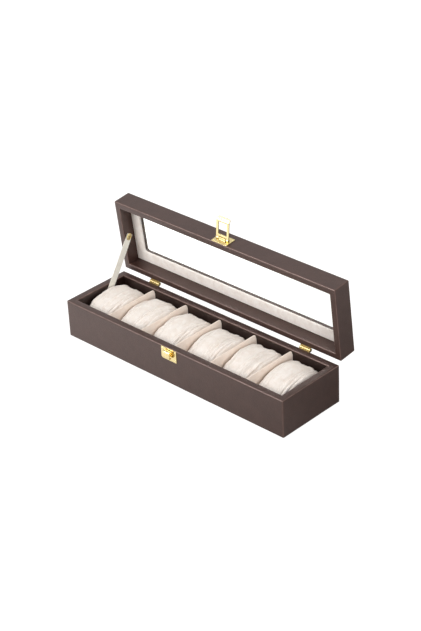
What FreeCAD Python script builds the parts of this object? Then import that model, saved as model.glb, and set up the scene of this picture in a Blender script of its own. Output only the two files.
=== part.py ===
"""Slim six-place watch box, lid open: the solid of every separate piece, in millimetres.

The origin is the centre of the underside, +Z is up, +X runs along the length and the front faces -Y.
The lid is built shut on the base and then swung open about its hinge line. The latch loop is built
hanging down in its latched place and is lifted before the lid is swung open.
"""
import FreeCAD
import Part
import math
import os

os.makedirs("parts", exist_ok=True)
V = FreeCAD.Vector

# Outer box
length = 325.0                # left to right
depth = 90.0                  # front to back
base_height = 46.0            # underside to the base rim
lid_height = 23.0             # lid rim to lid top
parting_gap = 0.4             # between the two rims when the lid is shut
edge_round = 1.2              # leather over the outer edges
rim_inner_round = 0.7         # leather over the inner edges of the rims

# Boards and leather
leather = 0.8                 # wrap thickness
base_wall = 8.5               # board with its leather on both sides
lid_wall = 7.5
bottom_cover = 1.0            # felt under the base
bottom_cover_inset = 1.5
floor_board = 3.0
floor_lining = 1.5            # suede-covered card on the floor board
lid_top = 4.0                 # frame board round the window, with its leather

# Window, glass and the suede frame inside the lid
window_border = 21.0          # outer faces of the lid to the window opening
window_corner = 3.0           # corner radius of the opening
window_edge_round = 1.2       # leather over the outer edge of the opening
glass_thickness = 2.0
glass_clearance = 0.3         # round the pane
suede_frame_width = 14.0      # inner faces of the lid walls to the frame's opening
suede_frame_thickness = 1.8
suede_frame_clearance = 0.2

# Dividers
place_count = 6
divider_thickness = 3.5
divider_below_rim = 1.0
divider_end_clearance = 0.1
divider_edge_round = 1.2
divider_corner = 3.0

# Cushions
cushion_above_rim = 0.0       # crown over the base rim, before the roll leans back
cushion_lean = 10.0           # back side raised and front side lowered, in degrees
cushion_seat_gap = 0.3        # over the floor lining
cushion_flat = 1.5            # height of the oval pressed flat underneath
cushion_end_gap = 2.0         # to the divider or wall at each end
cushion_side_gap = 2.0        # to the front and back walls
cushion_shoulder = 16.0       # radius of the front and back rounds
cushion_end_draw = 5.0        # skin drawn in at the two ends
# Share of the half length from the middle, and share of the end's draw that the skin has there
cushion_stations = ((-1.0, 1.0), (-0.93, 0.4), (-0.80, 0.12), (-0.4, 0.01),
                    (0.0, 0.0), (0.4, 0.01), (0.80, 0.12), (0.93, 0.4), (1.0, 1.0))
cushion_lift = 60.0           # travel that takes a cushion out of its place

# Hinge line and butt hinges
open_angle = 84.0             # lid from shut to held by the stay
hinge_behind = 2.8            # hinge line behind the back faces
hinge_inset = 49.0            # hinge centres from the ends of the box
hinge_width = 14.5
leaf_height = 9.5
leaf_thickness = 0.6
barrel_radius = 2.1
pin_radius = 0.9
pin_clearance = 0.05
pin_overhang = 0.5            # pin end past the barrel
knuckle_count = 5             # odd ones belong to the base leaf
knuckle_gap = 0.15
hinge_screw_spacing = 10.0
hinge_screw_head = 1.7
hinge_screw_dome = 0.5
hinge_screw_shank = 0.9
hinge_screw_length = 5.5

# Latch
plate_width = 22.5
plate_height = 14.5
plate_thickness = 0.8
plate_edge_gap = 0.3          # plate edge to the rim edge
plate_corner_cut = 1.6        # cut lower left corner of the catch plate
nail_inset = 2.1
nail_head = 0.9
nail_dome = 0.35
nail_shank = 0.5
nail_length = 5.0
pivot_height = 7.0            # loop pivot above the lid rim
pivot_out = 1.6               # loop pivot off the plate's face
loop_bar_radius = 0.9
loop_knuckle_radius = 1.75
loop_knuckle_length = 10.0
loop_eye_radius = 1.5
loop_side_gap = 0.3           # between the knuckle and the loop's ears
loop_width = 18.4
loop_thickness = 1.4
loop_leg = 3.0
loop_web = 4.2                # pivot down to the top of the loop's window
loop_reach = 18.8             # pivot down to the bar that goes under the hook
loop_bar_height = 1.6         # flat part of that bar
loop_lip = 5.0                # bent finger lip
loop_lip_angle = 35.0
loop_rest_angle = 101.0       # lifted from hanging, as it stands with the lid open
hook_width = 10.0
hook_out = 4.5                # off the catch plate's face
hook_strip = 0.9
hook_below_rim = 2.0          # rim to the top of the hook
hook_clearance = 0.6          # hook's lip to the loop's bar
hook_round = 2.0
hook_mouth = 1.1              # open between the lip and the plate
hook_relief = 0.7             # slot in the plate above the hook

# Lid stay
stay_width = 9.4
stay_thickness = 0.4
stay_lid_y = 3.4              # screw in the lid's left wall, from the middle of the depth
stay_lid_z = 6.5              # above the lid rim
stay_base_y = 10.8            # screw in the base's left wall
stay_base_z = 33.0
stay_lid_gap = 0.1            # ribbon off the lid wall
stay_base_gap = 0.3           # ribbon off the base wall
stay_end = 4.0                # ribbon past each screw
stay_screw_head = 2.2
stay_screw_dome = 1.2
stay_base_screw_dome = 0.8    # flatter, beside the cushion
stay_screw_shank = 1.0
stay_screw_length = 5.0
stay_washer_radius = 4.2
stay_washer = 0.5
stay_clearance = 0.1          # washer and base head off the ribbon, which slants under them

# Places worked out from the sizes
half_length = length / 2
half_depth = depth / 2
base_board = base_wall - 2 * leather
lid_board = lid_wall - 2 * leather
inner_half_length = half_length - base_wall
inner_half_depth = half_depth - base_wall
lid_inner_half_length = half_length - lid_wall
lid_inner_half_depth = half_depth - lid_wall
floor_top = bottom_cover + floor_board + floor_lining
lid_rim = base_height + parting_gap
lid_outer_top = lid_rim + lid_height
lid_ceiling = lid_outer_top - lid_top
hinge_y = half_depth + hinge_behind
hinge_z = base_height + parting_gap / 2
pivot_y = -half_depth - plate_thickness - pivot_out
pivot_z = lid_rim + pivot_height
place_pitch = (2 * inner_half_length + divider_thickness) / place_count
place_width = place_pitch - divider_thickness
shank_clearance = 0.05
bore_overrun = 1.0            # cutting cylinder past each end of the barrel
tolerance = 1e-6              # for comparing places and lengths


def block(low, high):
    """Box between two opposite corners, each (x, y, z)."""
    return Part.makeBox(high[0] - low[0], high[1] - low[1], high[2] - low[2], V(*low))


def ring(half_x, half_y, wall, z_low, z_high):
    """Four-sided frame: outer half sizes, wall thickness and height span."""
    outer = block((-half_x, -half_y, z_low), (half_x, half_y, z_high))
    inner = block((-half_x + wall, -half_y + wall, z_low), (half_x - wall, half_y - wall, z_high))
    return outer.cut(inner)


def is_upright(edge):
    """True for a straight edge that runs along Z."""
    ends = [vertex.Point for vertex in edge.Vertexes]
    return abs(ends[0].x - ends[1].x) < tolerance and abs(ends[0].y - ends[1].y) < tolerance


def at_height(edge, z):
    """True for an edge that lies level at height z."""
    return all(abs(vertex.Point.z - z) < tolerance for vertex in edge.Vertexes)


def rounded_opening(half_x, half_y, radius, z_low, z_high):
    """Prism with rounded upright corners, used to cut a window."""
    prism = block((-half_x, -half_y, z_low), (half_x, half_y, z_high))
    return prism.makeFillet(radius, [edge for edge in prism.Edges if is_upright(edge)])


def swing_open(shape):
    """Turn a lid piece from shut to open about the hinge line."""
    turned = shape.copy()
    turned.rotate(V(0, hinge_y, hinge_z), V(1, 0, 0), -open_angle)
    return turned


def lift_loop(shape):
    """Turn the latch loop from hanging to its lifted place on the shut lid."""
    turned = shape.copy()
    turned.rotate(V(0, pivot_y, pivot_z), V(1, 0, 0), -loop_rest_angle)
    return turned


def fastener(face, inward, head, dome, shank, reach):
    """Domed head that stands off a face and a round shank that goes in; face is a point on the seat."""
    outward = V(inward).negative()
    cap_radius = (head ** 2 + dome ** 2) / (2 * dome)
    centre = V(face) - outward * (cap_radius - dome)
    cap = Part.makeSphere(cap_radius, centre)
    collar = Part.makeCylinder(head, dome, V(face), outward)
    stem = Part.makeCylinder(shank, reach, V(face), V(inward))
    return cap.common(collar).fuse(stem).removeSplitter()


def shank_hole(face, inward, shank, reach):
    """Round hole for a fastener's shank, a clearance wider and deeper than the shank."""
    start = V(face) - V(inward) * shank_clearance
    return Part.makeCylinder(shank + shank_clearance, reach + 2 * shank_clearance, start, V(inward))


def hinge_screw_faces(side):
    """Seats of the four screws of the leaves on one side: -1 for the base, 1 for the lid."""
    middle = leaf_height / 2
    z = base_height - middle if side < 0 else lid_rim + middle
    y = half_depth + leaf_thickness
    centres = (-half_length + hinge_inset, half_length - hinge_inset)
    half = hinge_screw_spacing / 2
    return [V(centre + step, y, z) for centre in centres for step in (-half, half)]


def latch_nail_faces(z_low):
    """Seats of the four nails of a latch plate whose lower edge is at z_low."""
    y = -half_depth - plate_thickness
    xs = (-plate_width / 2 + nail_inset, plate_width / 2 - nail_inset)
    zs = (z_low + nail_inset, z_low + plate_height - nail_inset)
    return [V(x, y, z) for x in xs for z in zs]


catch_low = base_height - plate_edge_gap - plate_height
latch_low = lid_rim + plate_edge_gap
stay_lid_x = -lid_inner_half_length + stay_lid_gap + stay_thickness / 2
stay_base_x = -inner_half_length + stay_base_gap + stay_thickness / 2
stay_lid_seat = V(stay_lid_x + stay_thickness / 2 + stay_clearance + stay_washer,
                  stay_lid_y, lid_rim + stay_lid_z)
stay_base_seat = V(stay_base_x + stay_thickness / 2 + stay_clearance, stay_base_y, stay_base_z)
stay_lid_reach = stay_screw_length + stay_washer + stay_thickness
stay_base_reach = stay_screw_length + stay_thickness


def base_holes():
    """Every screw and nail hole in the base's boards and leather."""
    back, front, left = V(0, -1, 0), V(0, 1, 0), V(-1, 0, 0)
    holes = [shank_hole(face, back, hinge_screw_shank, hinge_screw_length)
             for face in hinge_screw_faces(-1)]
    holes += [shank_hole(face, front, nail_shank, nail_length) for face in latch_nail_faces(catch_low)]
    holes.append(shank_hole(stay_base_seat, left, stay_screw_shank, stay_base_reach))
    return holes


def lid_holes():
    """Every screw and nail hole in the shut lid's boards and leather."""
    back, front, left = V(0, -1, 0), V(0, 1, 0), V(-1, 0, 0)
    holes = [shank_hole(face, back, hinge_screw_shank, hinge_screw_length)
             for face in hinge_screw_faces(1)]
    holes += [shank_hole(face, front, nail_shank, nail_length) for face in latch_nail_faces(latch_low)]
    holes.append(shank_hole(stay_lid_seat, left, stay_screw_shank, stay_lid_reach))
    return holes


def drilled(shape, holes):
    """Cut the holes that touch a shape."""
    for hole in holes:
        if shape.BoundBox.intersect(hole.BoundBox):
            shape = shape.cut(hole)
    return shape


def wall_boards(wall_name, half_x, half_y, board, z_low, z_high, holes):
    """Front and back boards run the full length; the side boards stand between them."""
    x = half_x - leather
    y = half_y - leather
    boards = {
        wall_name % "front": block((-x, -y, z_low), (x, -y + board, z_high)),
        wall_name % "back": block((-x, y - board, z_low), (x, y, z_high)),
        wall_name % "left": block((-x, -y + board, z_low), (-x + board, y - board, z_high)),
        wall_name % "right": block((x - board, -y + board, z_low), (x, y - board, z_high)),
    }
    return {name: drilled(solid, holes) for name, solid in boards.items()}


def base_leather():
    """Leather over the outside, the rim and the inner walls of the base."""
    outer = block((-half_length, -half_depth, bottom_cover), (half_length, half_depth, base_height))
    edges = [e for e in outer.Edges if is_upright(e) or at_height(e, base_height)]
    outer = outer.makeFillet(edge_round, edges)
    inner_floor = bottom_cover + floor_board
    cavity = block((-inner_half_length, -inner_half_depth, inner_floor),
                   (inner_half_length, inner_half_depth, base_height))
    shell = outer.cut(cavity)
    mouth = [e for e in shell.Edges if at_height(e, base_height) and inside_mouth(e, inner_half_length)]
    shell = shell.makeFillet(rim_inner_round, mouth)
    boards = ring(half_length - leather, half_depth - leather, base_board,
                  bottom_cover, base_height - leather)
    shell = shell.cut(boards).cut(floor_panel())
    return drilled(shell, base_holes())


def inside_mouth(edge, half_x):
    """True for an edge no further out than the inner walls."""
    return all(abs(vertex.Point.x) < half_x + tolerance for vertex in edge.Vertexes)


def floor_panel():
    """Floor board between the wall boards."""
    x = half_length - leather - base_board
    y = half_depth - leather - base_board
    return block((-x, -y, bottom_cover), (x, y, bottom_cover + floor_board))


def lid_leather():
    """Leather over the outside, the rim, the inner walls and the window edge of the lid."""
    outer = block((-half_length, -half_depth, lid_rim), (half_length, half_depth, lid_outer_top))
    outer = outer.makeFillet(edge_round, outer.Edges)
    cavity = block((-lid_inner_half_length, -lid_inner_half_depth, lid_rim),
                   (lid_inner_half_length, lid_inner_half_depth, lid_ceiling))
    shell = outer.cut(cavity)
    mouth = [e for e in shell.Edges if at_height(e, lid_rim) and inside_mouth(e, lid_inner_half_length)]
    shell = shell.makeFillet(rim_inner_round, mouth)
    opening = rounded_opening(half_length - window_border, half_depth - window_border,
                              window_corner, lid_ceiling, lid_outer_top)
    shell = shell.cut(opening)
    lip = [e for e in shell.Edges
           if at_height(e, lid_outer_top) and inside_mouth(e, half_length - window_border)]
    shell = shell.makeFillet(window_edge_round, lip)
    rails = ring(half_length - leather, half_depth - leather, lid_board, lid_rim + leather, lid_ceiling)
    shell = shell.cut(rails).cut(lid_frame_board())
    return drilled(shell, lid_holes())


def lid_frame_board():
    """Board frame round the window, lying on the lid's wall boards."""
    x = half_length - leather
    y = half_depth - leather
    board = block((-x, -y, lid_ceiling), (x, y, lid_outer_top - leather))
    opening = rounded_opening(half_length - window_border + leather, half_depth - window_border + leather,
                              window_corner + leather, lid_ceiling, lid_outer_top - leather)
    return board.cut(opening)


def glass_pane():
    """Pane under the frame board."""
    x = lid_inner_half_length - glass_clearance
    y = lid_inner_half_depth - glass_clearance
    return block((-x, -y, lid_ceiling - glass_thickness), (x, y, lid_ceiling))


def suede_frame():
    """Suede-covered card frame that holds the pane from inside."""
    x = lid_inner_half_length - suede_frame_clearance
    y = lid_inner_half_depth - suede_frame_clearance
    z_high = lid_ceiling - glass_thickness
    z_low = z_high - suede_frame_thickness
    frame = block((-x, -y, z_low), (x, y, z_high))
    opening = rounded_opening(lid_inner_half_length - suede_frame_width,
                              lid_inner_half_depth - suede_frame_width, window_corner, z_low, z_high)
    return frame.cut(opening)


def divider(number):
    """Suede-covered card between two places, with rounded top edges and top corners."""
    x = -inner_half_length + number * place_pitch - divider_thickness / 2
    y = inner_half_depth - divider_end_clearance
    top = base_height - divider_below_rim
    half = divider_thickness / 2
    card = block((x - half, -y, floor_top), (x + half, y, top))
    across = [e for e in card.Edges if at_height(e, top) and abs(e.Length - divider_thickness) < tolerance]
    card = card.makeFillet(divider_corner, across)
    along = [e for e in card.Edges if at_height(e, top) and e.Length > divider_thickness + tolerance]
    return card.makeFillet(divider_edge_round, along)


def oval(x, half_y, half_z, shoulder, centre_z):
    """Level oval of four tangent arcs in the plane at x: tight rounds front and back, wide arcs above
    and below."""
    crown = ((half_y - shoulder) ** 2 + half_z ** 2 - shoulder ** 2) / (2 * (half_z - shoulder))
    run = math.hypot(half_y - shoulder, crown - half_z)
    join_y = half_y - shoulder + shoulder * (half_y - shoulder) / run
    join_z = shoulder * (crown - half_z) / run

    def point(y, z):
        return V(x, y, centre_z + z)

    arcs = [
        Part.Arc(point(join_y, -join_z), point(half_y, 0), point(join_y, join_z)),
        Part.Arc(point(join_y, join_z), point(0, half_z), point(-join_y, join_z)),
        Part.Arc(point(-join_y, join_z), point(-half_y, 0), point(-join_y, -join_z)),
        Part.Arc(point(-join_y, -join_z), point(0, -half_z), point(join_y, -join_z)),
    ]
    return Part.Wire([arc.toShape() for arc in arcs])


def cushion(number):
    """Stuffed roll across one place: full in the middle, drawn in at its two ends, leaning back and
    pressed flat underneath."""
    centre_x = -inner_half_length + (number - 0.5) * place_pitch - divider_thickness / 2
    half_x = place_width / 2 - cushion_end_gap
    half_y = inner_half_depth - cushion_side_gap
    bottom = floor_top + cushion_seat_gap
    low = bottom - cushion_flat
    high = base_height + cushion_above_rim
    half_z = (high - low) / 2
    centre_z = (high + low) / 2
    wires = []
    for share, draw in cushion_stations:
        drawn = draw * cushion_end_draw
        shoulder = cushion_shoulder * (half_z - drawn) / half_z
        wires.append(oval(centre_x + share * half_x, half_y - drawn, half_z - drawn, shoulder, centre_z))
    roll = Part.makeLoft(wires, True, False)
    roll.rotate(V(0, 0, centre_z), V(1, 0, 0), cushion_lean)
    under = block((centre_x - place_width, -half_depth, low - half_z),
                  (centre_x + place_width, half_depth, bottom))
    return roll.cut(under)


def hinge_leaf(centre_x, side):
    """Leaf on a back face with its knuckles round the hinge line: side -1 for the base, 1 for the lid."""
    half = hinge_width / 2
    z_edge = base_height if side < 0 else lid_rim
    z_far = z_edge + side * leaf_height
    leaf = block((centre_x - half, half_depth, min(z_edge, z_far)),
                 (centre_x + half, half_depth + leaf_thickness, max(z_edge, z_far)))
    corners = [e for e in leaf.Edges if abs(e.Length - leaf_thickness) < tolerance and at_height(e, z_far)]
    leaf = leaf.makeFillet(leaf_thickness, corners)
    pitch = hinge_width / knuckle_count
    first = 0 if side < 0 else 1
    for index in range(first, knuckle_count, 2):
        start = centre_x - half + index * pitch + knuckle_gap / 2
        width = pitch - knuckle_gap
        barrel = Part.makeCylinder(barrel_radius, width, V(start, hinge_y, hinge_z), V(1, 0, 0))
        z_web = hinge_z + side * barrel_radius
        web = block((start, half_depth, min(z_edge, z_web)),
                    (start + width, hinge_y, max(z_edge, z_web)))
        leaf = leaf.fuse(barrel).fuse(web)
    bore = Part.makeCylinder(pin_radius + pin_clearance, hinge_width + 2 * bore_overrun,
                             V(centre_x - half - bore_overrun, hinge_y, hinge_z), V(1, 0, 0))
    holes = [shank_hole(face, V(0, -1, 0), hinge_screw_shank, hinge_screw_length)
             for face in hinge_screw_faces(side)]
    return drilled(leaf.cut(bore), holes).removeSplitter()


def hinge_pin(centre_x):
    """Pin with plain ends a little past the barrel."""
    reach = hinge_width + 2 * pin_overhang
    return Part.makeCylinder(pin_radius, reach, V(centre_x - reach / 2, hinge_y, hinge_z), V(1, 0, 0))


def catch_plate():
    """Plate on the base's front wall with a curled hook that opens downward."""
    half = plate_width / 2
    face = -half_depth - plate_thickness
    plate = block((-half, face, catch_low), (half, -half_depth, catch_low + plate_height))
    corner = Part.makePolygon([
        V(-half, face, catch_low), V(-half + plate_corner_cut, face, catch_low),
        V(-half, face, catch_low + plate_corner_cut), V(-half, face, catch_low)])
    plate = plate.cut(Part.Face(corner).extrude(V(0, plate_thickness, 0)))
    hook_top = base_height - hook_below_rim
    hook_low = pivot_z - loop_reach + hook_clearance
    outer = hook_block(0, face - hook_out, face, hook_low, hook_top, hook_round)
    inner = hook_block(hook_strip, face - hook_out, face + hook_strip, hook_low, hook_top,
                       hook_round - hook_strip)
    mouth = block((-hook_width / 2, face - hook_mouth, hook_low),
                  (hook_width / 2, face, hook_top - hook_strip))
    relief = block((-hook_width / 2, face, hook_top),
                   (hook_width / 2, -half_depth, hook_top + hook_relief))
    hook = outer.cut(inner).cut(mouth)
    holes = [shank_hole(seat, V(0, 1, 0), nail_shank, nail_length)
             for seat in latch_nail_faces(catch_low)]
    return drilled(plate.fuse(hook).cut(relief), holes).removeSplitter()


def hook_block(inset, y_out, y_wall, z_low, z_high, radius):
    """Block of the hook's width with its two outer edges rounded, drawn in by inset."""
    solid = block((-hook_width / 2, y_out + inset, z_low + inset),
                  (hook_width / 2, y_wall - inset, z_high - inset))
    outer_edges = [e for e in solid.Edges
                   if all(abs(vertex.Point.y - (y_out + inset)) < tolerance for vertex in e.Vertexes)
                   and abs(e.Length - hook_width) < tolerance]
    return solid.makeFillet(radius, outer_edges)


def latch_plate():
    """Plate on the lid's front wall with the knuckle that carries the loop."""
    half = plate_width / 2
    face = -half_depth - plate_thickness
    plate = block((-half, face, latch_low), (half, -half_depth, latch_low + plate_height))
    start = V(-loop_knuckle_length / 2, pivot_y, pivot_z)
    knuckle = Part.makeCylinder(loop_knuckle_radius, loop_knuckle_length, start, V(1, 0, 0))
    foot = block((-loop_knuckle_length / 2, pivot_y, pivot_z - loop_knuckle_radius),
                 (loop_knuckle_length / 2, face, pivot_z))
    bore = Part.makeCylinder(loop_bar_radius + pin_clearance, loop_knuckle_length, start, V(1, 0, 0))
    holes = [shank_hole(seat, V(0, 1, 0), nail_shank, nail_length)
             for seat in latch_nail_faces(latch_low)]
    return drilled(plate.fuse(knuckle).fuse(foot).cut(bore), holes).removeSplitter()


def latch_loop():
    """Hanging loop: pivot bar, two ears, a web, a window for the hook, and a bent finger lip."""
    half = loop_width / 2
    front = pivot_y - loop_thickness / 2
    back = pivot_y + loop_thickness / 2
    low = pivot_z - loop_reach - loop_bar_height
    sheet = block((-half, front, low), (half, back, pivot_z))
    notch_half = loop_knuckle_length / 2 + loop_side_gap
    notch = block((-notch_half, front, pivot_z - loop_knuckle_radius - loop_side_gap),
                  (notch_half, back, pivot_z))
    window = block((-half + loop_leg, front, pivot_z - loop_reach),
                   (half - loop_leg, back, pivot_z - loop_web))
    sheet = sheet.cut(notch).cut(window)
    lip = block((-half, front, low - loop_lip), (half, back, low))
    tips = [e for e in lip.Edges
            if at_height(e, low - loop_lip) and abs(e.Length - loop_thickness) < tolerance]
    lip = lip.makeFillet(loop_leg, tips)
    lip.rotate(V(0, back, low), V(1, 0, 0), -loop_lip_angle)
    bend = Part.makeCylinder(loop_thickness, loop_width, V(-half, back, low), V(1, 0, 0))
    wedge = block((-half, front, low - loop_thickness), (half, back, low))
    loop = sheet.fuse(lip).fuse(bend.common(wedge))
    ear_width = half - notch_half
    for start in (-half, notch_half):
        eye = Part.makeCylinder(loop_eye_radius, ear_width, V(start, pivot_y, pivot_z), V(1, 0, 0))
        loop = loop.fuse(eye)
    bar = Part.makeCylinder(loop_bar_radius, loop_width, V(-half, pivot_y, pivot_z), V(1, 0, 0))
    return loop.fuse(bar).removeSplitter()


def stay_ribbon():
    """Taut flat ribbon from the base's left wall to the open lid's left wall, past both screws."""
    top = swing_open(Part.Vertex(stay_lid_x, stay_lid_y, lid_rim + stay_lid_z)).Point
    bottom = V(stay_base_x, stay_base_y, stay_base_z)
    run = V(0, top.y - bottom.y, top.z - bottom.z)
    span = run.Length
    run.normalize()
    across = V(0, -run.z, run.y)
    slope = (top.x - bottom.x) / span

    def section(distance):
        centre = V(bottom.x + slope * distance, bottom.y, bottom.z) + run * distance
        side = across * (stay_width / 2)
        thick = V(stay_thickness / 2, 0, 0)
        corners = [centre - side - thick, centre + side - thick,
                   centre + side + thick, centre - side + thick]
        return Part.makePolygon(corners + corners[:1])

    ribbon = Part.makeLoft([section(-stay_end), section(0)], True, True)
    ribbon = ribbon.fuse(Part.makeLoft([section(0), section(span)], True, True))
    ribbon = ribbon.fuse(Part.makeLoft([section(span), section(span + stay_end)], True, True))
    left = V(-1, 0, 0)
    base_hole = shank_hole(stay_base_seat, left, stay_screw_shank, stay_base_reach)
    lid_hole = swing_open(shank_hole(stay_lid_seat, left, stay_screw_shank, stay_lid_reach))
    return ribbon.cut(base_hole).cut(lid_hole).removeSplitter()


def stay_washer_ring():
    """Washer under the head of the lid's stay screw."""
    start = stay_lid_seat - V(stay_washer, 0, 0)
    disc = Part.makeCylinder(stay_washer_radius, stay_washer, start, V(1, 0, 0))
    hole = Part.makeCylinder(stay_screw_shank + shank_clearance, stay_washer, start, V(1, 0, 0))
    return disc.cut(hole)


def build():
    """Every node by name."""
    pieces = {}
    pieces.update(wall_boards("base_%s_panel", half_length, half_depth, base_board,
                              bottom_cover, base_height - leather, base_holes()))
    pieces["base_floor_panel"] = floor_panel()
    pieces["base_leather_wrap"] = base_leather()
    cover_x = half_length - bottom_cover_inset
    cover_y = half_depth - bottom_cover_inset
    pieces["base_bottom_felt"] = block((-cover_x, -cover_y, 0), (cover_x, cover_y, bottom_cover))
    pieces["base_floor_lining"] = block((-inner_half_length, -inner_half_depth, floor_top - floor_lining),
                                        (inner_half_length, inner_half_depth, floor_top))
    for number in range(1, place_count):
        pieces["divider_%d" % number] = divider(number)
    for number in range(1, place_count + 1):
        pieces["cushion_%d" % number] = cushion(number)

    lid_pieces = wall_boards("lid_%s_rail", half_length, half_depth, lid_board,
                             lid_rim + leather, lid_ceiling, lid_holes())
    lid_pieces["lid_top_frame"] = lid_frame_board()
    lid_pieces["lid_leather_wrap"] = lid_leather()
    lid_pieces["lid_glass"] = glass_pane()
    lid_pieces["lid_suede_frame"] = suede_frame()
    lid_pieces["latch_plate"] = latch_plate()
    lid_pieces["latch_plate_nails"] = Part.makeCompound([
        fastener(face, V(0, 1, 0), nail_head, nail_dome, nail_shank, nail_length)
        for face in latch_nail_faces(latch_low)])
    lid_pieces["lid_hinge_screws"] = Part.makeCompound([
        fastener(face, V(0, -1, 0), hinge_screw_head, hinge_screw_dome,
                 hinge_screw_shank, hinge_screw_length)
        for face in hinge_screw_faces(1)])
    lid_pieces["lid_stay_screw"] = fastener(stay_lid_seat, V(-1, 0, 0), stay_screw_head, stay_screw_dome,
                                            stay_screw_shank, stay_lid_reach)
    lid_pieces["lid_stay_washer"] = stay_washer_ring()
    lid_pieces["latch_loop"] = lift_loop(latch_loop())

    pieces["catch_plate"] = catch_plate()
    pieces["catch_plate_nails"] = Part.makeCompound([
        fastener(face, V(0, 1, 0), nail_head, nail_dome, nail_shank, nail_length)
        for face in latch_nail_faces(catch_low)])
    pieces["base_hinge_screws"] = Part.makeCompound([
        fastener(face, V(0, -1, 0), hinge_screw_head, hinge_screw_dome,
                 hinge_screw_shank, hinge_screw_length)
        for face in hinge_screw_faces(-1)])
    pieces["base_stay_screw"] = fastener(stay_base_seat, V(-1, 0, 0), stay_screw_head, stay_base_screw_dome,
                                         stay_screw_shank, stay_base_reach)
    pieces["stay_ribbon"] = stay_ribbon()
    for name, centre_x in (("left", -half_length + hinge_inset), ("right", half_length - hinge_inset)):
        pieces["%s_hinge_base_leaf" % name] = hinge_leaf(centre_x, -1)
        pieces["%s_hinge_pin" % name] = hinge_pin(centre_x)
        lid_pieces["%s_hinge_lid_leaf" % name] = hinge_leaf(centre_x, 1)

    for name, shape in lid_pieces.items():
        pieces[name] = swing_open(shape)
    return pieces


for name, shape in build().items():
    shape.exportStep("parts/%s.step" % name)
    print("%-26s %10.1f mm3  valid %s  solids %d" % (
        name, shape.Volume, shape.isValid(), len(shape.Solids)))
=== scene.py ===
"""Slim watch box with its window lid open: leatherette on board, suede cushions and partitions, brass fittings.

Sizes are in millimetres and angles in degrees. The front faces -Y, +X runs along the box and +Z is up.
Lid pieces are worked out shut on the base and then opened about the hinge line.
"""
import math

import bmesh
import bpy
import numpy as np
from mathutils import Matrix, Vector


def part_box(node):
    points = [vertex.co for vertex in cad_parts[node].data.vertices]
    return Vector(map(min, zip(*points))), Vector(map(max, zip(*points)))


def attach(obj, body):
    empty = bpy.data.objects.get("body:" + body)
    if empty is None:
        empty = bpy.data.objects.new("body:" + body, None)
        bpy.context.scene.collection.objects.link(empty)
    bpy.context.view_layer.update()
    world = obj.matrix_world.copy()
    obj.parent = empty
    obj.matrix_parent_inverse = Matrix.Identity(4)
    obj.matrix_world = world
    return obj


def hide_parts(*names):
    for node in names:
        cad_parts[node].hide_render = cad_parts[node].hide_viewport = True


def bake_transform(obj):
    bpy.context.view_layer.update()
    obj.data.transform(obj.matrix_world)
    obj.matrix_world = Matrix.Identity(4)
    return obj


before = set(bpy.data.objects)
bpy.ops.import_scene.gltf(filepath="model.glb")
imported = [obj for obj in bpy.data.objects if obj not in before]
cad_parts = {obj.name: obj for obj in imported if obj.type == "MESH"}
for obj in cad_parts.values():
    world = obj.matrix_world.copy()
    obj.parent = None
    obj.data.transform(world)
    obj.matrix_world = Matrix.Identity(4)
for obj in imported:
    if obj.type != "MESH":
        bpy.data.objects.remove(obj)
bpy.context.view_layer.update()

MM = 0.001

# The box as the solids have it
HALF_LENGTH, HALF_DEPTH = 162.5, 45.0
BASE_BOTTOM, BASE_TOP = 1.0, 46.0
LID_RIM, LID_TOP = 46.4, 69.4
LEATHER = 0.8
BASE_WALL, LID_WALL = 8.5, 7.5
INNER_FLOOR = 4.0               # top of the floor board
LID_CEILING = 65.4              # underside of the board round the window
WINDOW_BORDER = 21.0
EDGE_ROUND, MOUTH_ROUND = 1.2, 0.7
HINGE_Y, HINGE_Z, OPEN_ANGLE = 47.8, 46.2, 84.0
GLASS = 2.0
SUEDE_FRAME_WIDTH, SUEDE_FRAME_THICK = 14.0, 1.8
PLACES, PARTITION = 6, 3.5
PLATE_FACE = -45.8              # front faces of both latch plates
PIVOT_Y, PIVOT_Z, LOOP_ANGLE = -47.4, 53.4, 101.0


# ---------------------------------------------------------------- surfaces
def turned(points, axis_y, axis_z, degrees):
    """Points turned about a line along X: the front swings up and over to the back by the angle. The new y is the
    cosine times y plus the sine times z, and the new z is the cosine times z less the sine times y."""
    turn = math.radians(degrees)
    y, z = points[..., 1] - axis_y, points[..., 2] - axis_z
    placed = np.array(points, float)
    placed[..., 1] = axis_y + math.cos(turn) * y + math.sin(turn) * z
    placed[..., 2] = axis_z - math.sin(turn) * y + math.cos(turn) * z
    return placed


def opened(points):
    """Lid points from shut to open about the hinge line."""
    return turned(points, HINGE_Y, HINGE_Z, OPEN_ANGLE)


def lifted(points):
    """Loop points from hanging on the shut lid to standing on the open one."""
    return opened(turned(points, PIVOT_Y, PIVOT_Z, LOOP_ANGLE))


def ripple(points, wavelength, seed, waves=24):
    """Smooth noise about zero with a spread of one: a sum of plane waves, each the sine of the point along a
    random direction, divided by a length near the wavelength, plus a random phase."""
    rng = np.random.default_rng(seed)
    direction = rng.normal(size=(waves, 3))
    direction /= np.linalg.norm(direction, axis=1, keepdims=True)
    pace = 2 * np.pi / (wavelength * rng.uniform(0.7, 1.6, waves))
    phase = rng.uniform(0, 2 * np.pi, waves)
    return np.sin(points @ (direction * pace[:, None]).T + phase).sum(-1) / math.sqrt(waves / 2)


def hump(distance, width):
    """Bell that is 1 at distance 0 and fades over the width: e to the minus square of distance over width."""
    return np.exp(-(distance / width) ** 2)


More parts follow.
